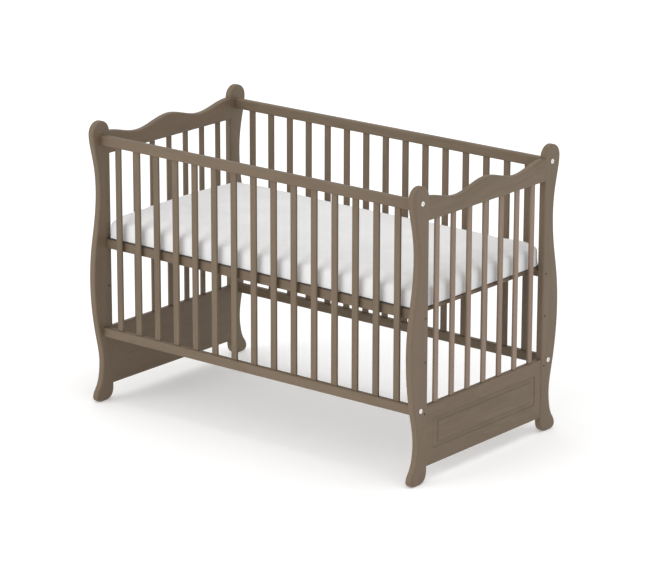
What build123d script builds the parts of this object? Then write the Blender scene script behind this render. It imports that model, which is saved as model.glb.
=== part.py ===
"""Baby cot: two curved ends, two barred sides, a slatted base at three heights and a mattress.

The cot stands on Z = 0 and is centred on the origin. X runs along its length, Y across it,
and every size is in millimetres. An end is -1 (left) or +1 (right), and a side is -1 (front)
or +1 (rear).
"""
from build123d import *
from math import cos, pi
import os

os.makedirs("parts", exist_ok=True)

# Mattress, which sets the size of everything round it
mattress_length = 1200
mattress_width = 600
mattress_height = 75
mattress_corner = 39
mattress_top_edge = 18
mattress_low_edge = 6
sheet_thick = 1.0
sheet_tuck = 60
sheet_opening_corner = 40
soft_gap = 0.3

# End frames: two posts, a wavy top rail, seven bars and a panel
cot_length = 1248
board = 22
board_edge = 5
post_inner = 281
head_z = 855
head_radius = 37.2
foot_flat = (319, 329)
foot_rise = 40
post_outer = [(350, 815), (336, 755), (329, 659), (338, 574), (353, 493), (360.5, 377),
              (354.3, 292), (340, 211), (326, 131), (328.6, 90), (341, 50), (355.3, 26)]
end_rail_bottom = 785
wave_height = 12.2
wave_lift = 3.5
end_bar_count = 7
end_bar_pitch = 77.3
end_bar_size = (8, 20)
panel_thick = 18
panel_bottom = 48.5
panel_top = 233
panel_tongue = 6
panel_edge = 3

# Moulding on the outside of each panel: a shallow sunk band with sloping edges
band_centre_z = 142
band_outer = (508, 96)
band_inner = (448, 59)
band_corner = 10
band_depth = 2
band_slope = 56

# Side frames: two rails and fifteen bars
side_y = 314.5
rail_thick = 20
rail_edge = 4.5
top_rail_z = (817.5, 849.5)
low_rail_z = (209, 239)
side_bar_count = 15
side_bar_pitch = 76.7
side_bar_size = (22, 8)
bar_edge = 2.2
mortise = 12

# Base: two long boards with a rebate for the slats
base_y = 294.5
base_thick = 18
base_top = 520.5
base_height = 31.5
base_round = 2
base_gap = 0.5
slat_count = 13
slat_pitch = 96
slat_size = (44, 10)
slat_corner = 1
slat_drop = 3
slat_gap = 0.5

# Fittings
bolt_radius = 3.0
bolt_length = 65
bolt_hole = 3.5
bolt_hole_spare = 4
bolt_head_radius = 7.5
bolt_head_height = 2.4
bolt_head_round = 1.7
bolt_socket = 4.0
bolt_top_z = 841.5
bolt_low_z = 226
nut_radius = 5.0
nut_length = 12
nut_reach = 36
nut_slot = (1.4, 1.2)
dowel_radius = 3.0
dowel_length = 32
dowel_in_post = 12
dowel_drop = 12
rail_dowel_radius = 4.0
rail_dowel_length = 40
rail_dowel_z = (803, 829)
base_hole = 3.1
base_hole_z = (499, 367.4, 212)
base_bolt_length = 32
base_bolt_sunk = 4
base_bolt_socket = 3.0
base_bolt_fit = 0.05
base_nut_reach = 9
base_nut_length = 12
slat_screw_y = 289.5
slat_screw_length = 20
slat_screw_radius = 2.0
slat_screw_head = 4.0
slat_screw_cross = (4.0, 0.9, 1.2)

# Places worked out from the sizes above
end_face = cot_length / 2
inside_face = end_face - board
mid_board = end_face - board / 2
rail_length = 2 * inside_face
base_length = rail_length - 2 * base_gap
base_inner = base_y - base_thick / 2
base_bottom = base_top - base_height
rebate_y = base_y
slat_top = base_top - slat_drop
slat_bottom = slat_top - slat_size[1]
slat_length = 2 * (rebate_y - slat_gap)
sheet_bottom = base_top + soft_gap
end_names = {-1: "left", 1: "right"}
side_names = {-1: "front", 1: "rear"}
ends = (-1, 1)
sides = (-1, 1)


def keep(piece, name):
    """Label a finished piece and write it as a STEP file of the same name."""
    piece.label = name
    export_step(piece, f"parts/{name}.step")


def end_plane(end, x):
    """The plane across the cot at distance x from the middle, facing out of that end."""
    return Plane(origin=(end * x, 0, 0), x_dir=(0, 1, 0), z_dir=(1, 0, 0))


def bolt_spots(zs):
    """Where the side bolts or the dowels sit on an end: both sides, at each height in zs."""
    return [(side * side_y, z) for side in sides for z in zs]


# ---------------------------------------------------------------- end frames
def wave_top(y):
    """Height of an end rail's wavy top at y: three crests, the middle one a little higher."""
    dip = wave_height * (1 - cos(2 * pi * y / post_inner))
    lift = wave_lift * (1 + cos(pi * y / post_inner)) / 2
    return head_z - dip + lift


def end_blank(end):
    """Posts and top rail of one end as a single rounded board, before it is cut into three."""
    with BuildPart() as blank:
        with BuildSketch(end_plane(end, mid_board)):
            with BuildLine():
                for side in sides:
                    toe = side * foot_flat[1]
                    heel = side * foot_flat[0]
                    inner = side * post_inner
                    shoulder = (inner + side * 2 * head_radius, head_z)
                    crown = (inner + side * head_radius, head_z + head_radius)
                    outer = [(side * y, z) for y, z in post_outer]
                    ThreePointArc((inner, head_z), crown, shoulder)
                    Spline(shoulder, *outer, (toe, 0), tangents=[(0, -1), (-side, 0)])
                    Line((toe, 0), (heel, 0))
                    Spline((heel, 0), (inner, foot_rise), tangents=[(-side, 0), (0, 1)])
                    Line((inner, foot_rise), (inner, end_rail_bottom))
                Line((-post_inner, end_rail_bottom), (post_inner, end_rail_bottom))
                steps = [post_inner * i / 4 for i in range(-4, 5)]
                Spline(*[(y, wave_top(y)) for y in steps], tangents=[(1, 0), (1, 0)])
            make_face()
        extrude(amount=board / 2, both=True)
        faces = blank.faces().filter_by(Axis.X).sort_by(Axis.X)
        fillet(faces[0].edges() + faces[-1].edges(), radius=board_edge)
    return blank.part


def end_bar_spots():
    """Middles of the end bars across the cot."""
    first = -(end_bar_count - 1) / 2 * end_bar_pitch
    return [first + i * end_bar_pitch for i in range(end_bar_count)]


def end_bar_prisms(end, low, high):
    """All the bars of one end, from height low to height high."""
    with BuildPart() as bars:
        with BuildSketch(Plane.XY.offset(low)):
            with Locations(*[(end * mid_board, y) for y in end_bar_spots()]):
                RectangleRounded(*end_bar_size, bar_edge)
        extrude(amount=high - low)
    return bars.part


def panel_prism(end, half_width):
    """The plain panel of one end, out to half_width on each side."""
    with BuildPart() as prism:
        with BuildSketch(end_plane(end, mid_board)):
            with Locations((0, (panel_bottom + panel_top) / 2)):
                Rectangle(2 * half_width, panel_top - panel_bottom)
        extrude(amount=panel_thick / 2, both=True)
    return prism.part


def make_post(end, side, blank):
    """One post, cut from the blank, with its bolt, dowel and base holes and the panel's groove."""
    with BuildPart() as post:
        add(blank)
        keep_side = Keep.TOP if side > 0 else Keep.BOTTOM
        split(bisect_by=Plane.XZ.offset(-side * post_inner).rotated((180, 0, 0)), keep=keep_side)
        add(panel_prism(end, post_inner + panel_tongue), mode=Mode.SUBTRACT)
        bolts = [(side * side_y, z) for z in (bolt_top_z, bolt_low_z)]
        with BuildSketch(end_plane(end, mid_board)):
            with Locations(*bolts):
                Circle(bolt_hole)
            with Locations(*[(side * base_y, z) for z in base_hole_z]):
                Circle(base_hole)
        extrude(amount=board, both=True, mode=Mode.SUBTRACT)
        with BuildSketch(end_plane(end, inside_face)):
            with Locations(*[(y, z - dowel_drop) for y, z in bolts]):
                Circle(dowel_radius)
        extrude(amount=end * dowel_in_post, mode=Mode.SUBTRACT)
        with BuildSketch(Plane.XZ.offset(-side * post_inner)):
            with Locations(*[(end * mid_board, z) for z in rail_dowel_z]):
                Circle(rail_dowel_radius)
        extrude(amount=-side * rail_dowel_length / 2, mode=Mode.SUBTRACT)
    keep(post.part, f"{end_names[end]}_{side_names[side]}_post")


def make_end_rail(end, blank):
    """The wavy top rail of one end, with mortises for the bars and dowel holes in its ends."""
    with BuildPart() as rail:
        add(blank)
        split(bisect_by=Plane.XZ.offset(post_inner), keep=Keep.BOTTOM)
        split(bisect_by=Plane.XZ.offset(-post_inner), keep=Keep.TOP)
        add(end_bar_prisms(end, end_rail_bottom, end_rail_bottom + mortise), mode=Mode.SUBTRACT)
        for side in sides:
            with BuildSketch(Plane.XZ.offset(-side * post_inner)):
                with Locations(*[(end * mid_board, z) for z in rail_dowel_z]):
                    Circle(rail_dowel_radius)
            extrude(amount=side * rail_dowel_length / 2, mode=Mode.SUBTRACT)
    keep(rail.part, f"{end_names[end]}_end_top_rail")


def make_panel(end):
    """The low panel of one end: tongued into both posts, with a moulded band on its outside."""
    with BuildPart() as panel:
        add(panel_prism(end, post_inner + panel_tongue))
        fillet(panel.edges().filter_by(Axis.Y), radius=panel_edge)
        add(end_bar_prisms(end, panel_top - mortise, panel_top), mode=Mode.SUBTRACT)
        outer_face = Plane(origin=(end * (mid_board + panel_thick / 2), 0, 0), x_dir=(0, 1, 0),
                           z_dir=(-end, 0, 0))
        with BuildSketch(outer_face):
            with Locations((0, -end * band_centre_z)):
                RectangleRounded(*band_outer, band_corner)
                Rectangle(*band_inner, mode=Mode.SUBTRACT)
        extrude(amount=band_depth, taper=band_slope, mode=Mode.SUBTRACT)
    keep(panel.part, f"{end_names[end]}_end_panel")


def make_end_bars(end):
    """The seven bars of one end, housed in the top rail and in the panel."""
    bars = end_bar_prisms(end, panel_top - mortise, end_rail_bottom + mortise)
    keep(bars, f"{end_names[end]}_end_bars")


# --------------------------------------------------------------- side frames
def side_bar_spots():
    """Middles of the side bars along the cot."""
    first = -(side_bar_count - 1) / 2 * side_bar_pitch
    return [first + i * side_bar_pitch for i in range(side_bar_count)]


def side_bar_prism(x, side, low, high):
    """One side bar at x, from height low to height high."""
    with BuildPart() as bar:
        with BuildSketch(Plane.XY.offset(low)):
            with Locations((x, side * side_y)):
                RectangleRounded(*side_bar_size, bar_edge)
        extrude(amount=high - low)
    return bar.part


def make_side_rail(side, name, heights, bolt_z, mortise_z):
    """One long rail with rounded edges, a mortise for each bar, and bolt, nut and dowel holes."""
    low, high = heights
    with BuildPart() as rail:
        with BuildSketch(Plane.YZ):
            with Locations((side * side_y, (low + high) / 2)):
                RectangleRounded(rail_thick, high - low, rail_edge)
        extrude(amount=rail_length / 2, both=True)
        with BuildSketch(Plane.XY.offset(mortise_z)):
            with Locations(*[(x, side * side_y) for x in side_bar_spots()]):
                RectangleRounded(*side_bar_size, bar_edge)
        extrude(amount=mortise, mode=Mode.SUBTRACT)
        for end in ends:
            with BuildSketch(end_plane(end, inside_face)):
                with Locations((side * side_y, bolt_z)):
                    Circle(bolt_hole)
            extrude(amount=-end * (bolt_length - board + bolt_hole_spare), mode=Mode.SUBTRACT)
            with BuildSketch(end_plane(end, inside_face)):
                with Locations((side * side_y, bolt_z - dowel_drop)):
                    Circle(dowel_radius)
            extrude(amount=-end * (dowel_length - dowel_in_post), mode=Mode.SUBTRACT)
            with BuildSketch(Plane.XY.offset(low)):
                with Locations((end * (inside_face - nut_reach), side * side_y)):
                    Circle(nut_radius)
            extrude(amount=bolt_z + nut_length / 2 - low, mode=Mode.SUBTRACT)
    keep(rail.part, f"{side_names[side]}_{name}_rail")


def make_side_bars(side):
    """The fifteen bars of one side, each a piece of its own."""
    for number, x in enumerate(side_bar_spots(), start=1):
        bar = side_bar_prism(x, side, low_rail_z[1] - mortise, top_rail_z[0] + mortise)
        keep(bar, f"{side_names[side]}_bar_{number:02d}")


# ------------------------------------------------------------------ fittings
def make_side_bolts():
    """Eight flat-headed bolts with hexagon sockets, which pull the sides against the ends."""
    spots = bolt_spots((bolt_top_z, bolt_low_z))
    with BuildPart() as bolts:
        for end in ends:
            with BuildSketch(end_plane(end, end_face)):
                with Locations(*spots):
                    Circle(bolt_radius)
            extrude(amount=-end * bolt_length)
            with BuildSketch(end_plane(end, end_face)):
                with Locations(*spots):
                    Circle(bolt_head_radius)
            extrude(amount=end * bolt_head_height)
            rims = bolts.edges().filter_by(GeomType.CIRCLE).group_by(Axis.X)[-1 if end > 0 else 0]
            fillet(rims, radius=bolt_head_round)
            with BuildSketch(end_plane(end, end_face + bolt_head_height)):
                with Locations(*spots):
                    RegularPolygon(bolt_socket / 2, 6, major_radius=False)
            extrude(amount=-end * bolt_socket, mode=Mode.SUBTRACT)
    keep(bolts.part, "side_bolts")


def make_barrel_nuts(name, reach, y_middle, heights, length, bore):
    """Barrel nuts standing in their boards, each drilled for its bolt and slotted underneath."""
    spots = [(end * (inside_face - reach), side * y_middle) for end in ends for side in sides]
    with BuildPart() as nuts:
        for z in heights:
            with BuildSketch(Plane.XY.offset(z - length / 2)):
                with Locations(*spots):
                    Circle(nut_radius)
            extrude(amount=length)
            with BuildSketch(Plane.XY.offset(z - length / 2)):
                with Locations(*spots):
                    Rectangle(2 * nut_radius, nut_slot[0])
            extrude(amount=nut_slot[1], mode=Mode.SUBTRACT)
        with BuildSketch(Plane.YZ):
            with Locations(*[(side * y_middle, z) for side in sides for z in heights]):
                Circle(bore)
        extrude(amount=cot_length, both=True, mode=Mode.SUBTRACT)
    keep(nuts.part, name)


def make_side_dowels():
    """Eight short dowels, one under each side bolt, which stop the rails from turning."""
    with BuildPart() as dowels:
        for end in ends:
            with BuildSketch(end_plane(end, inside_face + dowel_in_post)):
                with Locations(*bolt_spots((bolt_top_z - dowel_drop, bolt_low_z - dowel_drop))):
                    Circle(dowel_radius)
            extrude(amount=-end * dowel_length)
    keep(dowels.part, "side_dowels")


def make_end_dowels():
    """Eight dowels, two in each joint between a post and its end's top rail."""
    with BuildPart() as dowels:
        for side in sides:
            with BuildSketch(Plane.XZ.offset(-side * post_inner)):
                with Locations(*[(end * mid_board, z) for end in ends for z in rail_dowel_z]):
                    Circle(rail_dowel_radius)
            extrude(amount=rail_dowel_length / 2, both=True)
    keep(dowels.part, "end_dowels")


# ---------------------------------------------------------------------- base
def slat_spots():
    """Middles of the slats along the cot."""
    first = -(slat_count - 1) / 2 * slat_pitch
    return [first + i * slat_pitch for i in range(slat_count)]


def make_base_board(side):
    """One long board of the base, rebated for the slats, bored for the screws and its two bolts."""
    with BuildPart() as long_board:
        with BuildSketch(Plane.YZ):
            with Locations((side * base_y, base_bottom + base_height / 2)):
                Rectangle(base_thick, base_height)
        extrude(amount=base_length / 2, both=True)
        outer_edges = long_board.edges().filter_by(Axis.X).group_by(Axis.Y)[-1 if side > 0 else 0]
        fillet(outer_edges, radius=base_round)
        with BuildSketch(Plane.YZ):
            with Locations((side * (base_inner + rebate_y) / 2, (slat_bottom + base_top) / 2)):
                Rectangle(rebate_y - base_inner, base_top - slat_bottom)
        extrude(amount=base_length / 2, both=True, mode=Mode.SUBTRACT)
        with BuildSketch(Plane.XY.offset(slat_top - slat_screw_length)):
            with Locations(*[(x, side * slat_screw_y) for x in slat_spots()]):
                Circle(slat_screw_radius)
        extrude(amount=slat_screw_length, mode=Mode.SUBTRACT)
        for end in ends:
            with BuildSketch(end_plane(end, base_length / 2)):
                with Locations((side * base_y, base_hole_z[0])):
                    Circle(base_hole)
            extrude(amount=-end * (base_nut_reach + nut_radius + bolt_hole_spare), mode=Mode.SUBTRACT)
            with BuildSketch(Plane.XY.offset(base_bottom)):
                with Locations((end * (inside_face - base_nut_reach), side * base_y)):
                    Circle(nut_radius)
            extrude(amount=base_hole_z[0] + base_nut_length / 2 - base_bottom, mode=Mode.SUBTRACT)
    keep(long_board.part, f"base_{side_names[side]}_board")


def make_slats():
    """Thirteen slats let into the rebates, countersunk for a screw at each end."""
    with BuildPart() as slats:
        with BuildSketch(Plane.XY.offset(slat_bottom)):
            with Locations(*[(x, 0) for x in slat_spots()]):
                RectangleRounded(slat_size[0], slat_length, slat_corner)
        extrude(amount=slat_size[1])
        with Locations(*[(x, side * slat_screw_y, slat_top) for x in slat_spots() for side in sides]):
            CounterSinkHole(slat_screw_radius, slat_screw_head, slat_size[1])
    keep(slats.part, "base_slats")


def make_slat_screws():
    """Countersunk cross-head screws, one at each end of each slat, flush with its top."""
    spots = [(x, side * slat_screw_y) for x in slat_spots() for side in sides]
    cone = slat_screw_head - slat_screw_radius
    with BuildPart() as screws:
        with Locations(*[(x, y, slat_top - slat_screw_length) for x, y in spots]):
            Cylinder(slat_screw_radius, slat_screw_length - cone,
                     align=(Align.CENTER, Align.CENTER, Align.MIN))
        with Locations(*[(x, y, slat_top - cone) for x, y in spots]):
            Cone(slat_screw_radius, slat_screw_head, cone,
                 align=(Align.CENTER, Align.CENTER, Align.MIN))
        with BuildSketch(Plane.XY.offset(slat_top)):
            with Locations(*spots):
                Rectangle(slat_screw_cross[0], slat_screw_cross[1])
                Rectangle(slat_screw_cross[1], slat_screw_cross[0])
        extrude(amount=-slat_screw_cross[2], mode=Mode.SUBTRACT)
    keep(screws.part, "slat_screws")


def make_base_bolts(end):
    """Two headless bolts at one end, sunk in their post holes and screwed into the base's nuts."""
    spots = [(side * base_y, base_hole_z[0]) for side in sides]
    with BuildPart() as bolts:
        with BuildSketch(end_plane(end, end_face - base_bolt_sunk)):
            with Locations(*spots):
                Circle(bolt_radius)
        extrude(amount=-end * base_bolt_length)
        with BuildSketch(end_plane(end, end_face - base_bolt_sunk)):
            with Locations(*spots):
                RegularPolygon(base_bolt_socket / 2, 6, major_radius=False)
        extrude(amount=-end * base_bolt_socket, mode=Mode.SUBTRACT)
    keep(bolts.part, f"{end_names[end]}_base_bolts")


# ------------------------------------------------------------------ mattress
def mattress_block(grow):
    """The mattress's outer shape, grow larger all round than its foam core."""
    length = mattress_length - 2 * sheet_thick + 2 * grow
    width = mattress_width - 2 * sheet_thick + 2 * grow
    bottom = sheet_bottom + sheet_thick - grow
    height = mattress_height - 2 * sheet_thick + 2 * grow
    with BuildPart() as block:
        with BuildSketch(Plane.XY.offset(bottom)):
            RectangleRounded(length, width, mattress_corner + grow)
        extrude(amount=height)
        flats = block.faces().filter_by(Axis.Z).sort_by(Axis.Z)
        fillet(flats[0].edges(), radius=mattress_low_edge + grow)
        fillet(flats[-1].edges(), radius=mattress_top_edge + grow)
    return block.part


def make_mattress():
    """The foam core, and the fitted sheet that covers it and tucks under its edges."""
    core = mattress_block(0)
    keep(core, "mattress_core")
    with BuildPart() as sheet:
        add(mattress_block(sheet_thick))
        add(core, mode=Mode.SUBTRACT)
        with BuildSketch(Plane.XY.offset(sheet_bottom)):
            RectangleRounded(mattress_length - 2 * sheet_tuck, mattress_width - 2 * sheet_tuck,
                             sheet_opening_corner)
        extrude(amount=sheet_thick, mode=Mode.SUBTRACT)
    keep(sheet.part, "fitted_sheet")


for end in ends:
    frame_blank = end_blank(end)
    for side in sides:
        make_post(end, side, frame_blank)
    make_end_rail(end, frame_blank)
    make_panel(end)
    make_end_bars(end)
    make_base_bolts(end)

for side in sides:
    make_side_rail(side, "top", top_rail_z, bolt_top_z, top_rail_z[0])
    make_side_rail(side, "bottom", low_rail_z, bolt_low_z, low_rail_z[1] - mortise)
    make_side_bars(side)
    make_base_board(side)

make_side_bolts()
make_barrel_nuts("side_barrel_nuts", nut_reach, side_y, (bolt_top_z, bolt_low_z), nut_length,
                 bolt_radius)
make_barrel_nuts("base_barrel_nuts", base_nut_reach, base_y, (base_hole_z[0],), base_nut_length,
                 bolt_radius + base_bolt_fit)
make_side_dowels()
make_end_dowels()
make_slats()
make_slat_screws()
make_mattress()
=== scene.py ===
"""Looks for a baby crib: stained wood, nickel-plated fixings and a mattress in a fitted sheet.

Lengths are in metres. The crib stands on Z = 0 with its length along X, and every piece takes its
place from the nodes of the frame.
"""

import logging
from collections.abc import Iterable
from dataclasses import dataclass, field
from enum import Enum
from math import atan2, cos, exp, hypot, pi, radians, sin, tanh, tau

import bmesh
import bpy
from mathutils import Matrix, Vector, noise


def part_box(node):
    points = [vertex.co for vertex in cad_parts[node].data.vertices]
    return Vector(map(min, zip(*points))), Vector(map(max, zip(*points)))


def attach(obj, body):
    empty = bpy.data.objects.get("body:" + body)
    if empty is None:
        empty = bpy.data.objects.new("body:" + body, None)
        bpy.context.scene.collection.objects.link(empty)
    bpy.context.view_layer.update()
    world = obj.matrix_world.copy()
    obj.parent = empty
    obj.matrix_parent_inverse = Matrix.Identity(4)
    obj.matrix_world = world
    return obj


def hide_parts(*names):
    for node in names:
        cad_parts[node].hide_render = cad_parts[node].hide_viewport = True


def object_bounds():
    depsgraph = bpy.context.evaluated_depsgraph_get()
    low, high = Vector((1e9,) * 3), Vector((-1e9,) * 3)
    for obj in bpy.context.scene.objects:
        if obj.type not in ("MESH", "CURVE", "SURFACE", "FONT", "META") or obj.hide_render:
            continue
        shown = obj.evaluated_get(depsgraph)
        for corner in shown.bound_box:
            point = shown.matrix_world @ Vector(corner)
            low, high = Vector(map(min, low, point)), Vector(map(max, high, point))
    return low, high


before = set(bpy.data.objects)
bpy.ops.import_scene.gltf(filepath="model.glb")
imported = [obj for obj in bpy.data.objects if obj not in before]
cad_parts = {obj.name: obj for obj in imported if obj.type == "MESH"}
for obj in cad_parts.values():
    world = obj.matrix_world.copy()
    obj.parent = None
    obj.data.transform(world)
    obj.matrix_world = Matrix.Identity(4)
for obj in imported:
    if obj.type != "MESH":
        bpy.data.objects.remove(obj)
CAD_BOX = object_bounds()

log = logging.getLogger("crib")

ENDS = ("left", "right")
SIDES = ("front", "rear")

Colour = tuple[float, float, float]
Number = "Wire | float"


class Grain(Enum):
    """The way a board's grain runs."""

    LENGTHWISE = "X"
    CROSSWISE = "Y"
    UPRIGHT = "Z"


# ------------------------------------------------------------------ shader bench
class Wire:
    """One output of a shader node. Arithmetic on it adds Math nodes."""

    def __init__(self, bench: "Bench", socket: bpy.types.NodeSocket) -> None:
        """Hold a node's output.

        Args:
            bench: The bench that the node stands on.
            socket: The output to wrap.
        """
        self.bench = bench
        self.socket = socket

    def _math(self, operation: str, first: Number, second: Number) -> "Wire":
        """Add one Math node.

        Args:
            operation: The Math node's operation.
            first: Its first value.
            second: Its second value.

        Returns:
            The result.
        """
        node = self.bench.put("ShaderNodeMath", {"operation": operation}, {0: first, 1: second})
        return node["Value"]

    def __add__(self, other: Number) -> "Wire":
        """Add a number."""
        return self._math("ADD", self, other)

    def __radd__(self, other: Number) -> "Wire":
        """Add to a number."""
        return self._math("ADD", other, self)

    def __sub__(self, other: Number) -> "Wire":
        """Take a number away."""
        return self._math("SUBTRACT", self, other)

    def __rsub__(self, other: Number) -> "Wire":
        """Take this away from a number."""
        return self._math("SUBTRACT", other, self)

    def __mul__(self, other: Number) -> "Wire":
        """Multiply by a number."""
        return self._math("MULTIPLY", self, other)

    def __rmul__(self, other: Number) -> "Wire":
        """Multiply a number by this."""
        return self._math("MULTIPLY", other, self)

    def sine(self) -> "Wire":
        """Return the sine of this."""
        return self._math("SINE", self, 0.0)

    def away_from(self, place: float) -> "Wire":
        """Return the distance from a place on the same scale."""
        gap = self - place
        return self._math("ABSOLUTE", gap, 0.0)

    def least(self, other: Number) -> "Wire":
        """Return the lesser of two numbers."""
        return self._math("MINIMUM", self, other)

    def greatest(self, other: Number) -> "Wire":
        """Return the greater of two numbers."""
        return self._math("MAXIMUM", self, other)


class Laid(dict[str, Wire]):
    """The outputs of one node by name."""


class Bench:
    """The node tree of one material, and the surface shader in it."""

    def __init__(self, name: str) -> None:
        """Start a material.

        Args:
            name: The material's name.
        """
        self.material = bpy.data.materials.new(name)
        self.material.use_nodes = True
        self.tree = self.material.node_tree
        self.surface = self.tree.nodes["Principled BSDF"]

    def put(self, kind: str, settings: dict[str, object], inputs: dict[str | int, object]) -> Laid:
        """Add a node: its settings first, and then its inputs.

        Args:
            kind: The node's type.
            settings: Properties of the node.
            inputs: Values or wires by socket name or number.

        Returns:
            The node's outputs by name.
        """
        node = self.tree.nodes.new(kind)
        for key, value in settings.items():
            setattr(node, key, value)
        for key, value in inputs.items():
            self._feed(node.inputs[key], value)
        return Laid({socket.name: Wire(self, socket) for socket in node.outputs if socket.enabled})

    def _feed(self, socket: bpy.types.NodeSocket, value: object) -> None:
        """Give a socket a wire or a plain value.

        Args:
            socket: The input.
            value: A wire, a number, a colour or a vector.
        """
        if isinstance(value, Wire):
            self.tree.links.new(value.socket, socket)
        elif socket.type == "RGBA" and len(value) == 3:
            socket.default_value = (*value, 1.0)
        else:
            socket.default_value = value

    def place(self) -> Wire:
        """Return the place on the piece, in metres, in the crib's own frame at rest."""
        return self.put("ShaderNodeTexCoord", {}, {})["Object"]

    def stretch(self, vector: Wire, scale: Iterable[float], shift: Wire | None = None) -> Wire:
        """Scale a vector, and shift it if asked.

        Args:
            vector: The vector.
            scale: The scale along X, Y and Z.
            shift: A vector to add.

        Returns:
            The new vector.
        """
        scaled = self.put("ShaderNodeVectorMath", {"operation": "MULTIPLY"},
                          {0: vector, 1: tuple(scale)})["Vector"]
        if shift is None:
            return scaled
        return self.put("ShaderNodeVectorMath", {"operation": "ADD"}, {0: scaled, 1: shift})["Vector"]

    def cloud(self, vector: Wire, scale: float, detail: float = 2.0, rough: float = 0.5) -> Laid:
        """Return a soft noise's outputs.

        Args:
            vector: Where the noise is read.
            scale: How many lumps to a unit.
            detail: How many finer layers lie on it.
            rough: How strong they are.

        Returns:
            The noise, as "Fac" and "Color".
        """
        return self.put("ShaderNodeTexNoise", {"noise_dimensions": "3D"},
                        {"Vector": vector, "Scale": scale, "Detail": detail, "Roughness": rough})

    def ease(self, value: Wire, low: float, high: float, start: float = 0.0, end: float = 1.0) -> Wire:
        """Map a range to another with soft ends.

        Args:
            value: The number to map.
            low: Where the range starts.
            high: Where it ends.
            start: The result at low.
            end: The result at high.

        Returns:
            The mapped number.
        """
        return self.put("ShaderNodeMapRange", {"interpolation_type": "SMOOTHSTEP"},
                        {"Value": value, "From Min": low, "From Max": high,
                         "To Min": start, "To Max": end})["Result"]

    def blend(self, factor: Number, first: object, second: object, way: str = "MIX") -> Wire:
        """Mix two colours.

        Args:
            factor: How much of the second.
            first: A colour or a wire.
            second: A colour or a wire.
            way: The Mix node's blend type.

        Returns:
            The mixed colour.
        """
        settings = {"data_type": "RGBA", "blend_type": way}
        return self.put("ShaderNodeMix", settings, {0: factor, 6: first, 7: second})["Result"]

    def relief(self, height: Wire, depth: float, strength: float = 1.0) -> Wire:
        """Turn a height into a bumped normal.

        Args:
            height: The height, from 0 to 1.
            depth: How many metres a height of 1 stands up.
            strength: How much of it shows.

        Returns:
            The normal.
        """
        return self.put("ShaderNodeBump", {}, {"Strength": strength, "Distance": depth,
                                               "Height": height})["Normal"]

    def finish(self, varying: dict[str, Wire], fixed: dict[str, object]) -> bpy.types.Material:
        """Feed the surface shader.

        Args:
            varying: Wires by the surface's socket names.
            fixed: Plain values by the surface's socket names.

        Returns:
            The finished material.
        """
        for key, value in (varying | fixed).items():
            self._feed(self.surface.inputs[key], value)
        return self.material


# ---------------------------------------------------------------------- finishes
@dataclass(frozen=True)
class SunkBand:
    """The moulded band on the outside of an end's panel, with painted shade along its two quirks."""

    middle: float = 0.142
    quirks: tuple[tuple[float, float], ...] = ((0.2502, 0.0442), (0.2278, 0.0333))
    outside: tuple[float, float] = (0.616, 0.619)
    width: float = 0.0050
    strength: float = 0.22

    def painted_quirk_shade(self, bench: Bench, axes: Laid) -> Wire:
        """Paint shade along the band's two quirks.

        Args:
            bench: The material's bench.
            axes: The place on the piece, as X, Y and Z.

        Returns:
            How much of the painted shade shows.
        """
        across, height = axes["Y"].away_from(0.0), axes["Z"].away_from(self.middle)
        lines = [(across - wide).greatest(height - high).away_from(0.0) for wide, high in self.quirks]
        shown = bench.ease(axes["X"].away_from(0.0), *self.outside)
        return bench.ease(lines[0].least(lines[1]), 0.0, self.width, self.strength, 0.0) * shown


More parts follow.
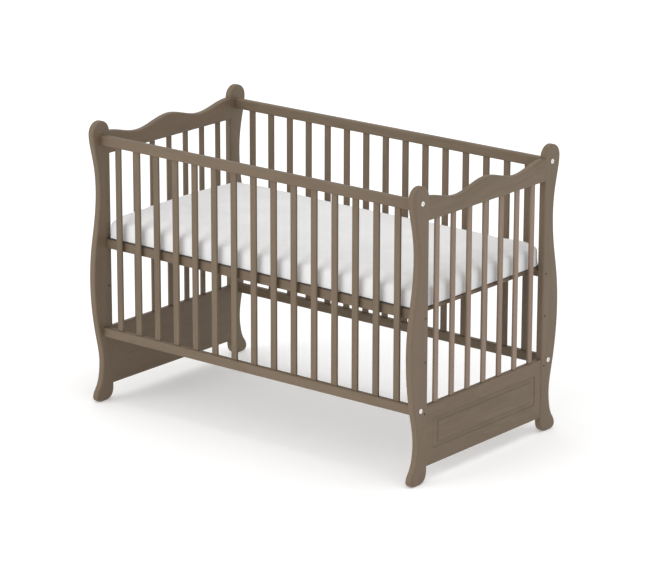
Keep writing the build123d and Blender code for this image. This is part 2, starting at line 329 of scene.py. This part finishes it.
@dataclass(frozen=True)
class StainedWood:
    """Beech under a matt taupe stain, which lets the figure, fibres and pores show; it can also carry
    lines of painted shade, and painted light on its outer faces.
    """

    name: str
    grain: Grain
    # Heights along which a line of painted shade runs.
    joints: tuple[float, ...] = ()
    band: SunkBand | None = None
    # Painted light: a colour factor that makes the outer faces lighter and bluer, and the reach over
    # which it comes in.
    outer_painted_light: Colour | None = None
    outer_painted_light_reach: tuple[float, float] = (0.6115, 0.6155)
    light: Colour = (0.170, 0.126, 0.082)
    dark: Colour = (0.134, 0.097, 0.062)
    warm: Colour = (0.167, 0.115, 0.078)
    # The pore colour also serves as the colour of the painted shade.
    pore_and_painted_shade: Colour = (0.054, 0.038, 0.025)
    figure_across: float = 16.0
    figure_along: float = 1.4
    rings_across: float = 7.0
    board_across: float = 9.0
    board_along: float = 0.8
    fibre_across: float = 520.0
    fibre_along: float = 14.0
    pore_across: float = 1100.0
    pore_along: float = 70.0
    # Width and strength of the painted shade lines.
    painted_shade_width: float = 0.0022
    painted_shade_strength: float = 0.6
    relief: float = 0.00016

    def _along(self, across: float, along: float) -> Vector:
        """Return a scale that is fine across the grain and long with it."""
        return Vector(along if axis == self.grain.value else across for axis in "XYZ")

    def make(self) -> bpy.types.Material:
        """Build the finish.

        Returns:
            The material.
        """
        bench = Bench(self.name)
        place = bench.place()
        drift = bench.cloud(place, 3.0, 1.0)["Color"]
        figure = bench.cloud(bench.stretch(place, self._along(self.figure_across, self.figure_along),
                                           drift), 1.0, 3.0, 0.45)["Fac"]
        rings = (figure * (tau * self.rings_across)).sine()
        fibre = bench.cloud(bench.stretch(place, self._along(self.fibre_across, self.fibre_along)),
                            1.0, 3.0, 0.6)["Fac"]
        pores = bench.cloud(bench.stretch(place, self._along(self.pore_across, self.pore_along)),
                            1.0, 1.0, 0.5)["Fac"]
        flecks = bench.ease(pores, 0.66, 0.76)
        board = bench.cloud(bench.stretch(place, self._along(self.board_across, self.board_along)),
                            1.0, 0.0)["Fac"]
        tone = 0.5 + (figure - 0.5) * 0.9 + rings * 0.10 + (fibre - 0.5) * 0.7
        stain = bench.blend(bench.ease(tone, 0.1, 0.9), self.dark, self.light)
        stain = bench.blend(bench.ease(board, 0.35, 0.75, 0.0, 0.45), stain, self.warm)
        stain = bench.blend(flecks * 0.55, stain, self.pore_and_painted_shade)
        height = fibre * 0.5 - flecks * 0.6 + rings * 0.06
        rough = 0.50 + (fibre - 0.5) * 0.22 + flecks * 0.12
        axes = bench.put("ShaderNodeSeparateXYZ", {}, {"Vector": place})
        # Painted light: the outer faces are multiplied lighter.
        if self.outer_painted_light:
            outside = bench.ease(axes["X"].away_from(0.0), *self.outer_painted_light_reach)
            stain = bench.blend(outside, stain, self.outer_painted_light, "MULTIPLY")
        # Painted shade along the listed heights.
        if self.joints:
            stain = bench.blend(self._painted_shade(bench, axes["Z"]), stain, self.pore_and_painted_shade)
        # Painted shade in the band's quirks.
        if self.band:
            stain = bench.blend(self.band.painted_quirk_shade(bench, axes), stain, self.pore_and_painted_shade)
        return bench.finish(
            {"Base Color": stain, "Roughness": rough, "Normal": bench.relief(height, self.relief, 0.55)},
            {"IOR": 1.45, "Specular IOR Level": 0.38})

    def _painted_shade(self, bench: Bench, height: Wire) -> Wire:
        """Paint shade in lines at the given heights: where bars meet their rails and panel, and along the
        base boards' top edge under the mattress.

        Args:
            bench: The material's bench.
            height: The height above the floor.

        Returns:
            How much of the painted shade shows.
        """
        near = height.away_from(self.joints[0])
        for shade_height in self.joints[1:]:
            near = near.least(height.away_from(shade_height))
        return bench.ease(near, 0.0, self.painted_shade_width, self.painted_shade_strength, 0.0)


@dataclass(frozen=True)
class TurnedSteel:
    """Turned steel, plated or blackened, and lightly brushed."""

    name: str = "nickel_plate"
    clean: Colour = (0.86, 0.83, 0.80)
    dull: Colour = (0.66, 0.62, 0.58)
    brushing: tuple[float, float, float] = (300.0, 9000.0, 5200.0)
    scratch_depth: float = 0.00003

    def make(self) -> bpy.types.Material:
        """Build the finish.

        Returns:
            The material.
        """
        bench = Bench(self.name)
        place = bench.place()
        bloom = bench.cloud(place, 260.0, 3.0)["Fac"]
        scratches = bench.cloud(bench.stretch(place, self.brushing), 1.0, 1.0)["Fac"]
        colour = bench.blend(bench.ease(bloom, 0.4, 0.75), self.clean, self.dull)
        return bench.finish(
            {"Base Color": colour, "Roughness": 0.24 + bloom * 0.12 + scratches * 0.10,
             "Normal": bench.relief(scratches, self.scratch_depth, 0.5)},
            {"Metallic": 1.0})


@dataclass(frozen=True)
class BareDowel:
    """Bare beech, as the dowels are."""

    name: str = "bare_beech"
    light: Colour = (0.66, 0.47, 0.30)
    dark: Colour = (0.50, 0.33, 0.19)

    def make(self) -> bpy.types.Material:
        """Build the finish.

        Returns:
            The material.
        """
        bench = Bench(self.name)
        place = bench.place()
        fibre = bench.cloud(bench.stretch(place, (60.0, 60.0, 900.0)), 1.0, 3.0)["Fac"]
        rays = bench.cloud(place, 1800.0, 1.0)["Fac"]
        colour = bench.blend(bench.ease(fibre, 0.3, 0.7), self.dark, self.light)
        return bench.finish(
            {"Base Color": colour, "Roughness": 0.62 + rays * 0.15,
             "Normal": bench.relief(fibre, 0.0002, 0.6)},
            {"IOR": 1.45})


@dataclass(frozen=True)
class Cotton:
    """Plain-woven cotton: fine threads both ways, with slubs and a soft nap."""

    name: str
    light: Colour
    dark: Colour
    threads: float
    slub: float = 0.5
    slub_along: float = 30.0
    slub_across: float = 900.0
    weave_depth: float = 0.00022

    def make(self) -> bpy.types.Material:
        """Build the finish.

        Returns:
            The material.
        """
        bench = Bench(self.name)
        place = bench.place()
        axes = bench.put("ShaderNodeSeparateXYZ", {}, {"Vector": place})
        warp = ((axes["X"] + axes["Z"] * 0.37) * self.threads).sine()
        weft = ((axes["Y"] + axes["Z"] * 0.61) * self.threads).sine()
        long, fine = self.slub_along, self.slub_across
        slubs = bench.cloud(bench.stretch(place, (long, fine, fine)), 1.0, 2.0)["Fac"]
        cross = bench.cloud(bench.stretch(place, (fine, long, fine)), 1.0, 2.0)["Fac"]
        nap = bench.cloud(place, 9.0, 3.0)["Fac"]
        weave = 0.5 + warp * weft * 0.25
        yarn = (slubs + cross) * 0.5
        tone = bench.ease(nap * 0.55 + yarn * self.slub * 0.6 + weave * 0.1, 0.25, 0.75)
        colour = bench.blend(tone, self.dark, self.light)
        return bench.finish(
            {"Base Color": colour, "Roughness": 0.78 + yarn * 0.16,
             "Normal": bench.relief(weave * 0.6 + yarn * 0.7, self.weave_depth, 0.5)},
            {"Sheen Weight": 0.22, "Sheen Roughness": 0.4, "Sheen Tint": (1.0, 1.0, 1.0),
             "Specular IOR Level": 0.25})


class Palette:
    """Every finish of the crib, built once."""

    def __init__(self) -> None:
        """Build the finishes, with the heights of the painted shade lines read from the frame."""
        bar_ends = (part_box("front_bottom_rail")[1].z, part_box("front_top_rail")[0].z)
        end_bar_ends = (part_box("right_end_panel")[1].z, self._rail_bottom())
        self.lengthwise = StainedWood("stain_lengthwise", Grain.LENGTHWISE).make()
        self.crosswise = StainedWood("stain_crosswise", Grain.CROSSWISE).make()
        # End panels: painted shade in the quirks of the moulded band.
        self.panel = StainedWood("stain_panel", Grain.CROSSWISE, band=SunkBand()).make()
        self.upright = StainedWood("stain_upright", Grain.UPRIGHT).make()
        # Side bars: painted contact shade where the bars meet the rails.
        self.side_bar = StainedWood("stain_side_bar", Grain.UPRIGHT, bar_ends).make()
        # End bars: painted contact shade at both ends of each bar, and painted light on their outer
        # faces.
        self.end_bar = StainedWood("stain_end_bar", Grain.UPRIGHT, end_bar_ends,
                                   outer_painted_light=(1.55, 1.52, 1.72)).make()
        # Painted shadow: a dark line along the base boards' top edge, under the mattress.
        self.base_board = StainedWood("stain_base_board", Grain.LENGTHWISE,
                                      (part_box("base_front_board")[1].z,),
                                      painted_shade_width=0.0045, painted_shade_strength=1.0).make()
        self.steel = TurnedSteel().make()
        self.black_steel = TurnedSteel("black_oxide", (0.085, 0.075, 0.070), (0.050, 0.043, 0.040)).make()
        self.dowel = BareDowel().make()
        self.sheet = Cotton("sheet_percale", (0.83, 0.83, 0.825), (0.74, 0.74, 0.74), 5200.0).make()
        self.ticking = Cotton("mattress_ticking", (0.80, 0.79, 0.76), (0.66, 0.65, 0.62),
                              1500.0, 0.8).make()

    @staticmethod
    def _rail_bottom() -> float:
        """Return the height of the underside of an end's top rail."""
        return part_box("right_end_top_rail")[0].z

    @staticmethod
    def dress(node: str, finish: bpy.types.Material) -> None:
        """Give a CAD node its finish.

        Args:
            node: The node's name.
            finish: Its material.
        """
        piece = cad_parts[node]
        for slot in piece.material_slots:
            slot.material = finish
        log.info("%s wears %s", node, finish.name)


# --------------------------------------------------------------------- furniture
@dataclass
class EndFrame:
    """One end: two posts, a wavy top rail, a low panel and seven bars."""

    end: str
    palette: Palette

    def build(self) -> None:
        """Dress the end's pieces with the grain along each one."""
        for side in SIDES:
            Palette.dress(f"{self.end}_{side}_post", self.palette.upright)
        Palette.dress(f"{self.end}_end_top_rail", self.palette.crosswise)
        Palette.dress(f"{self.end}_end_panel", self.palette.panel)
        Palette.dress(f"{self.end}_end_bars", self.palette.end_bar)


@dataclass
class SideFrame:
    """One side: a top rail, a bottom rail and fifteen bars."""

    side: str
    palette: Palette
    bars: int = 15

    def build(self) -> None:
        """Dress the side's pieces with the grain along each one."""
        for height in ("top", "bottom"):
            Palette.dress(f"{self.side}_{height}_rail", self.palette.lengthwise)
        for number in range(1, self.bars + 1):
            Palette.dress(f"{self.side}_bar_{number:02d}", self.palette.side_bar)


@dataclass
class SlattedBase:
    """The base under the mattress: two long boards and the slats between them."""

    palette: Palette

    def build(self) -> None:
        """Dress the boards, the slats and their screws."""
        for side in SIDES:
            Palette.dress(f"base_{side}_board", self.palette.base_board)
        Palette.dress("base_slats", self.palette.crosswise)
        Palette.dress("slat_screws", self.palette.steel)


@dataclass
class Fixings:
    """Bolts, barrel nuts and dowels."""

    palette: Palette

    def build(self) -> None:
        """Dress the metal fixings and the dowels."""
        for node in ("side_bolts", "side_barrel_nuts", "base_barrel_nuts"):
            Palette.dress(node, self.palette.steel)
        for end in ENDS:
            Palette.dress(f"{end}_base_bolts", self.palette.black_steel)
        for node in ("side_dowels", "end_dowels"):
            Palette.dress(node, self.palette.dowel)


# ----------------------------------------------------------------------- bedding
def new_piece(name: str, shape: bmesh.types.BMesh) -> bpy.types.Object:
    """Turn a shape into a piece of the scene.

    Args:
        name: The name of the piece and its mesh.
        shape: The shape, which is freed.

    Returns:
        The piece.
    """
    mesh = bpy.data.meshes.new(name)
    shape.to_mesh(mesh)
    shape.free()
    piece = bpy.data.objects.new(name, mesh)
    bpy.context.scene.collection.objects.link(piece)
    return piece


@dataclass
class Bedding:
    """The foam mattress, the fitted sheet pulled over it, and the sheet's elastic hem."""

    palette: Palette
    cover: float = 0.0012
    start_inset: float = 0.0015
    start_drop: float = 0.006
    start_below: float = 0.007
    corner: float = 0.010
    top_round: float = 0.017
    low_round: float = 0.003
    voxel: float = 0.008
    frames: int = 20
    pressure: float = 4.0
    stretch_stiffness: float = 20.0
    shear_stiffness: float = 8.0
    bend_stiffness: float = 1.0
    cloth_mass: float = 0.3
    swell_up: float = 0.010
    swell_out: float = 0.003
    droops: tuple[float, ...] = (0.010, 0.014, 0.010, 0.004)
    droop_reach: float = 0.070
    sink: float = 0.0025
    sink_reach: float = 0.006
    gather: float = 0.0016
    gather_reach: float = 0.020
    gather_pitch: float = 26.0
    gather_slant: float = 6.0
    gather_least: float = 0.35
    gather_corner: float = 0.10
    opening_inset: float = 0.060
    opening_corner: float = 0.045
    corner_steps: int = 8
    hem_width: float = 0.0045
    hem_rise: float = 0.0011
    hem_gathers: int = 260
    gather_steps: int = 4
    hem_sides: int = 8
    hem_pinch: float = 0.16
    fold_rise: float = 0.0014
    crease_depth: float = 0.0022
    crease_onset: float = 0.18
    pull_rise: float = 0.0011
    pull_reach: float = 0.07
    pull_folds: float = 11.0
    low: Vector = field(init=False)
    high: Vector = field(init=False)

    def __post_init__(self) -> None:
        """Read the bedding's place from the frame."""
        self.low, self.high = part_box("fitted_sheet")

    def build(self) -> None:
        """Make the mattress, its sheet and the hem."""
        mattress = self._block()
        self._inflate(mattress)
        self._seat(mattress)
        self._finish(mattress, "foam_mattress", self.palette.ticking)
        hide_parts("mattress_core")
        sheet = self._sheet(mattress)
        self._finish(sheet, "crib_sheet", self.palette.sheet)
        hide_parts("fitted_sheet")
        hem = self._hem()
        self._finish(hem, "sheet_hem", self.palette.sheet)

    def _finish(self, piece: bpy.types.Object, name: str, finish: bpy.types.Material) -> None:
        """Name a piece, give it its finish and let it ride with the mattress.

        Args:
            piece: The piece.
            name: Its name.
            finish: Its material.
        """
        piece.name = name
        piece.data.materials.clear()
        piece.data.materials.append(finish)
        for face in piece.data.polygons:
            face.use_smooth = True
        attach(piece, "mattress")
        log.info("%s has %d faces", name, len(piece.data.polygons))

    def _block(self) -> bpy.types.Object:
        """Cut the foam a little small, with its corners and edges rounded.

        Returns:
            The block, remeshed into even squares.
        """
        inset = Vector((self.start_inset, self.start_inset, 0.0))
        low = self.low + inset + Vector((0.0, 0.0, self.cover - self.start_below))
        high = self.high - inset - Vector((0.0, 0.0, self.start_drop))
        shape = bmesh.new()
        bmesh.ops.create_cube(shape, size=1.0)
        for vertex in shape.verts:
            for axis in range(3):
                vertex.co[axis] = low[axis] if vertex.co[axis] < 0 else high[axis]
        upright = [e for e in shape.edges if abs(e.verts[0].co.z - e.verts[1].co.z) > self.voxel]
        bmesh.ops.bevel(shape, geom=upright, offset=self.corner, segments=8, profile=0.5,
                        affect="EDGES")
        for height, radius in ((high.z, self.top_round), (low.z, self.low_round)):
            rim = [e for e in shape.edges if all(abs(v.co.z - height) < 1e-6 for v in e.verts)]
            bmesh.ops.bevel(shape, geom=rim, offset=radius, segments=5, profile=0.5, affect="EDGES")
        block = new_piece("foam", shape)
        remesh = block.modifiers.new("even", "REMESH")
        remesh.mode = "VOXEL"
        remesh.voxel_size = self.voxel
        self._apply(block)
        return block

    @staticmethod
    def _apply(piece: bpy.types.Object) -> None:
        """Turn a piece's modifiers into plain mesh.

        Args:
            piece: The piece.
        """
        graph = bpy.context.evaluated_depsgraph_get()
        mesh = bpy.data.meshes.new_from_object(piece.evaluated_get(graph))
        piece.modifiers.clear()
        old = piece.data
        piece.data = mesh
        bpy.data.meshes.remove(old)

    def _inflate(self, piece: bpy.types.Object) -> None:
        """Blow the cover up against the foam, and cap how far it swells.

        Args:
            piece: The foam block.
        """
        before = [v.co.copy() for v in piece.data.vertices]
        resting = piece.vertex_groups.new(name="resting")
        bed = self.low.z + self.cover + self.low_round / 2
        resting.add([v.index for v in piece.data.vertices if v.co.z < bed], 1.0, "REPLACE")
        cloth = piece.modifiers.new("cover", "CLOTH")
        settings = cloth.settings
        settings.quality = 5
        settings.mass = self.cloth_mass
        settings.tension_stiffness = settings.compression_stiffness = self.stretch_stiffness
        settings.shear_stiffness = self.shear_stiffness
        settings.bending_stiffness = self.bend_stiffness
        settings.use_pressure = True
        settings.uniform_pressure_force = self.pressure
        settings.vertex_group_mass = resting.name
        settings.effector_weights.gravity = 0.0
        cloth.point_cache.frame_start = 1
        cloth.point_cache.frame_end = self.frames
        scene = bpy.context.scene
        for step in range(1, self.frames + 1):
            scene.frame_set(step)
        self._apply(piece)
        scene.frame_set(1)
        caps = (self.swell_out, self.swell_out, self.swell_up)
        for vertex, start in zip(piece.data.vertices, before):
            moved = vertex.co - start
            vertex.co = start + Vector(cap * tanh(step / cap) for cap, step in zip(caps, moved))
        log.info("the cover swelled by up to %.1f mm",
                 1000 * max((v.co - b).length for v, b in zip(piece.data.vertices, before)))

    def _seat(self, piece: bpy.types.Object) -> None:
        """Press the underside flat on the base, crease the cover, and keep it in its space.

        Args:
            piece: The mattress.
        """
        bed = self.low.z + self.cover
        top = self.high.z - self.cover
        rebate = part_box("base_slats")[1].y
        sides = (self.high - Vector((self.cover,) * 3), self.low + Vector((self.cover,) * 3))
        for vertex in piece.data.vertices:
            place = vertex.co
            share = min(1.0, max(0.0, (place.z - bed) / (top - bed)))
            place.z += (self._creases(place) - self._droop(place)) * share
            lift = max(0.0, place.z - bed)
            drawn = self._gathers(place, lift)
            for axis in (0, 1):
                place[axis] = max(sides[1][axis] + drawn, min(sides[0][axis] - drawn, place[axis]))
            within = min(1.0, max(0.0, (rebate - abs(place.y)) / self.voxel))
            place.z = bed + lift - self.sink * within * exp(-lift / self.sink_reach)

    def _from_corner(self, place: Vector) -> float:
        """Return how far a place is from the mattress's nearest corner, in plan."""
        return hypot(abs(place.x) - self.high.x, abs(place.y) - self.high.y)

    def _droop(self, place: Vector) -> float:
        """Return how far the cover hangs lower towards the nearest corner of the mattress.

        Args:
            place: A place on the mattress.

        Returns:
            The drop in metres.
        """
        corner = self._from_corner(place)
        drop = self.droops[2 * (place.x > 0) + (place.y > 0)]
        return drop * exp(-(corner / self.droop_reach) ** 2)

    def _gathers(self, place: Vector, lift: float) -> float:
        """Return how far the elastic draws the sheet in at a place on the mattress's side.

        Args:
            place: A place on the mattress.
            lift: Its height above the base.

        Returns:
            The distance in metres.
        """
        pitch = self.gather_pitch
        round_the_edge = Vector((place.x * pitch, place.y * pitch, lift * self.gather_slant))
        corner = self._from_corner(place)
        near = self.gather_least + (1.0 - self.gather_least) * exp(-corner / self.gather_corner)
        folds = max(0.0, noise.noise(round_the_edge) + 0.1)
        return self.gather * near * folds * exp(-lift / self.gather_reach)

    def _creases(self, place: Vector) -> float:
        """Return how far the cover stands up or dips at a place.

        Args:
            place: A place on the mattress.

        Returns:
            The height in metres.
        """
        long_folds = noise.noise(Vector((place.x * 3.1, place.y * 5.2, 4.0))) * self.fold_rise
        warped = place.x * 7.0 + 1.7 * noise.noise(Vector((place.x * 2.0, place.y * 2.4, 1.0)))
        depth = max(0.0, noise.noise(Vector((warped, place.y * 2.2, 8.0))) - self.crease_onset)
        pull = 0.0
        for x in (self.low.x, self.high.x):
            for y in (self.low.y, self.high.y):
                dx, dy = place.x - x, place.y - y
                turned = atan2(abs(dy), abs(dx))
                near = exp(-hypot(dx, dy) / self.pull_reach)
                pull += self.pull_rise * near * sin(self.pull_folds * turned)
        return long_folds - depth * self.crease_depth + pull

    def _sheet(self, mattress: bpy.types.Object) -> bpy.types.Object:
        """Pull the sheet over the mattress: its upper skin, open underneath.

        Args:
            mattress: The mattress.

        Returns:
            The sheet.
        """
        mesh = mattress.data.copy()
        sheet = bpy.data.objects.new("sheet", mesh)
        bpy.context.scene.collection.objects.link(sheet)
        skin = bmesh.new()
        skin.from_mesh(mesh)
        skin.normal_update()
        bed = self.low.z + self.cover + self.sink
        gone = [v for v in skin.verts if v.co.z < bed and self._inside_opening(v.co)]
        for vertex in skin.verts:
            vertex.co += vertex.normal * (self.cover * 0.35)
        bmesh.ops.delete(skin, geom=gone, context="VERTS")
        skin.to_mesh(mesh)
        skin.free()
        smooth = sheet.modifiers.new("fine", "SUBSURF")
        smooth.levels = smooth.render_levels = 1
        thick = sheet.modifiers.new("cloth", "SOLIDIFY")
        thick.thickness = self.cover * 0.5
        thick.offset = 1.0
        self._apply(sheet)
        return sheet

    def _opening_reach(self) -> tuple[float, float]:
        """Return how far along X and Y the centres of the opening's corners lie."""
        return tuple(self.high[axis] - self.opening_inset - self.opening_corner for axis in (0, 1))

    def _inside_opening(self, place: Vector) -> bool:
        """Say if a place on the underside is within the sheet's rounded opening.

        Args:
            place: A place on the underside.

        Returns:
            True where there is no sheet.
        """
        reach = self._opening_reach()
        over = [max(0.0, abs(place[axis]) - reach[axis]) for axis in (0, 1)]
        return hypot(*over) < self.opening_corner

    def _opening_edge(self) -> list[Vector]:
        """Return places round the edge of the sheet's opening."""
        reach = self._opening_reach()
        path = []
        for quarter, (sx, sy) in enumerate(((1, 1), (-1, 1), (-1, -1), (1, -1))):
            for step in range(self.corner_steps + 1):
                angle = (quarter + step / self.corner_steps) * pi / 2
                path.append(Vector((sx * reach[0] + self.opening_corner * cos(angle),
                                    sy * reach[1] + self.opening_corner * sin(angle), 0.0)))
        return path

    def _hem(self) -> bpy.types.Object:
        """Run the gathered elastic hem round the opening under the mattress.

        Returns:
            The hem.
        """
        path = self._opening_edge()
        spans = [(b - a).length for a, b in zip(path, path[1:] + path[:1])]
        total = sum(spans)
        hem = bmesh.new()
        rings = []
        steps = self.hem_gathers * self.gather_steps
        walked, leg = 0.0, 0
        for step in range(steps):
            far = total * step / steps
            while far > walked + spans[leg]:
                walked += spans[leg]
                leg += 1
            start, end = path[leg], path[(leg + 1) % len(path)]
            along = (end - start).normalized()
            centre = start + along * (far - walked)
            pinch = 1.0 + self.hem_pinch * sin(tau * step / self.gather_steps + 0.6 * sin(step * 0.7))
            rings.append(self._hem_ring(hem, centre, along, pinch))
        for ring, following in zip(rings, rings[1:] + rings[:1]):
            for turn in range(self.hem_sides):
                beside = (turn + 1) % self.hem_sides
                hem.faces.new((ring[turn], ring[beside], following[beside], following[turn]))
        bmesh.ops.recalc_face_normals(hem, faces=hem.faces)
        return new_piece("hem", hem)

    def _hem_ring(self, hem: bmesh.types.BMesh, centre: Vector, along: Vector,
                  pinch: float) -> list[bmesh.types.BMVert]:
        """Add one ring of the hem.

        Args:
            hem: The hem's shape.
            centre: The ring's middle, in plan.
            along: The way that the hem runs.
            pinch: How much fuller than usual the ring is.

        Returns:
            The ring's points.
        """
        side = Vector((along.y, -along.x, 0.0))
        ring = []
        for turn in range(self.hem_sides):
            angle = tau * turn / self.hem_sides
            height = self.low.z - self.sink + self.hem_rise * (1.0 + 0.9 * pinch * sin(angle))
            ring.append(hem.verts.new(centre + side * (self.hem_width / 2 * pinch * cos(angle))
                                      + Vector((0.0, 0.0, height))))
        return ring


# ------------------------------------------------------------------------ studio
@dataclass
class Studio:
    """A white floor, soft light all round, and the camera."""

    azimuth: float = 39.118
    elevation: float = 16.568
    distance: float = 9.994
    aside: float = 0.0043
    lowered: float = 0.0453
    roll: float = 0.0946
    lens: float = 183.9
    sensor: float = 36.0
    floor_size: float = 80.0
    floor_glow: float = 0.20
    sky: float = 0.87
    key_strength: float = 0.48
    key_turned: tuple[float, float, float] = (15.0, 0.0, 100.0)
    key_spread: float = 35.0
    fill_strength: float = 0.88
    fill_turned: tuple[float, float, float] = (62.0, 0.0, -18.0)
    fill_spread: float = 50.0

    def build(self) -> None:
        """Lay the floor, hang the lights and set up the camera."""
        self._floor()
        self._sky()
        self._sun("key_light", self.key_strength, self.key_turned, self.key_spread)
        self._sun("fill_light", self.fill_strength, self.fill_turned, self.fill_spread)
        self._camera()
        bpy.context.scene.view_settings.view_transform = "Standard"

    def _floor(self) -> None:
        """Lay the floor."""
        sheet = bmesh.new()
        bmesh.ops.create_grid(sheet, x_segments=1, y_segments=1, size=self.floor_size / 2)
        floor = new_piece("floor", sheet)
        bench = Bench("studio_floor")
        haze = bench.cloud(bench.place(), 1.5, 2.0)["Fac"]
        colour = bench.blend(haze, (0.84, 0.84, 0.84), (0.86, 0.86, 0.86))
        floor.data.materials.append(bench.finish(
            {"Base Color": colour},
            {"Roughness": 0.9, "Specular IOR Level": 0.1, "Emission Color": (1.0, 1.0, 1.0),
             "Emission Strength": self.floor_glow}))

    def _sky(self) -> None:
        """Fill the studio with even white light."""
        world = bpy.data.worlds.new("studio")
        world.use_nodes = True
        sky = world.node_tree.nodes["Background"]
        sky.inputs["Color"].default_value = (1.0, 1.0, 1.0, 1.0)
        sky.inputs["Strength"].default_value = self.sky
        bpy.context.scene.world = world

    @staticmethod
    def _sun(name: str, strength: float, turned: tuple[float, float, float], spread: float) -> None:
        """Hang one broad lamp far away.

        Args:
            name: The lamp's name.
            strength: Its strength.
            turned: Its rotation, in degrees.
            spread: How wide it looks from the crib, in degrees.
        """
        lamp = bpy.data.lights.new(name, "SUN")
        lamp.energy = strength
        lamp.angle = radians(spread)
        holder = bpy.data.objects.new(name, lamp)
        holder.rotation_euler = [radians(angle) for angle in turned]
        bpy.context.scene.collection.objects.link(holder)

    def _camera(self) -> None:
        """Set up the camera."""
        turn, tilt = radians(self.azimuth), radians(self.elevation)
        back = Vector((sin(turn) * cos(tilt), -cos(turn) * cos(tilt), sin(tilt)))
        right = Vector((cos(turn), sin(turn), 0.0))
        up = back.cross(right)
        low, high = CAD_BOX
        aim = (Vector(low) + Vector(high)) / 2 + right * self.aside - up * self.lowered
        camera = bpy.data.cameras.new("camera")
        camera.lens = self.lens
        camera.sensor_width = self.sensor
        camera.clip_end = 200.0
        holder = bpy.data.objects.new("camera", camera)
        pose = Matrix((right, up, back)).transposed().to_4x4()
        pose.translation = aim + back * self.distance
        holder.matrix_world = pose @ Matrix.Rotation(radians(self.roll), 4, "Z")
        bpy.context.scene.collection.objects.link(holder)
        bpy.context.scene.camera = holder


def main() -> None:
    """Dress the frame, make the bedding and set up the studio."""
    logging.basicConfig(level=logging.INFO, format="%(name)s: %(message)s")
    palette = Palette()
    parts = [EndFrame(end, palette) for end in ENDS] + [SideFrame(side, palette) for side in SIDES]
    for part in [*parts, SlattedBase(palette), Fixings(palette), Bedding(palette)]:
        part.build()
        log.info("%s is ready", type(part).__name__)
    Studio().build()


if __name__ == "__main__":
    main()
